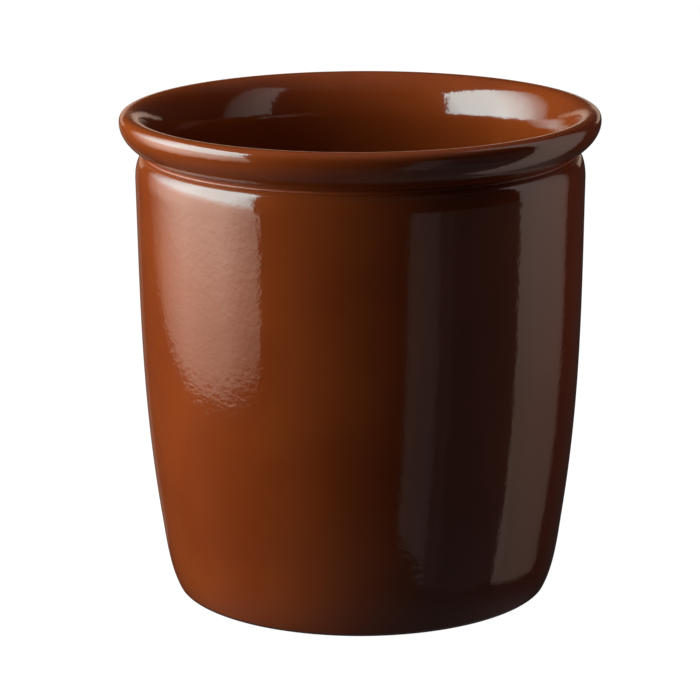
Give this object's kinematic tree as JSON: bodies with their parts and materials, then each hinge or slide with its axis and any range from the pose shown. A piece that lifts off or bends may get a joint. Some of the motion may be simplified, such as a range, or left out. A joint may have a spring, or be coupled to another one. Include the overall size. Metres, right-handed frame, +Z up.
{
  "type": "open ceramic crock fermenter",
  "caption": "Open round stoneware crock with a rolled rim and a glossy red-brown glaze, for fermenting vegetables or mash.",
  "frame": {"origin": "centre of the foot ring, on the plane that the crock stands on", "axes": "+Z up along the crock's axis of turning; the crock is round, so +X and +Y are any two square directions"},
  "size_m": [0.2, 0.2, 0.2038],
  "materials": {
    "bare_clay": "unglazed stoneware, fine matt grain",
    "brown_glaze": "glossy red-brown glaze with a faint orange-peel ripple",
    "base_glaze": "glossy red-brown glaze"
  },
  "bodies": {
    "root": {"stoneware_body": "bare_clay", "glaze_coat": "brown_glaze", "base_glaze": "base_glaze"}
  },
  "joints": []
}
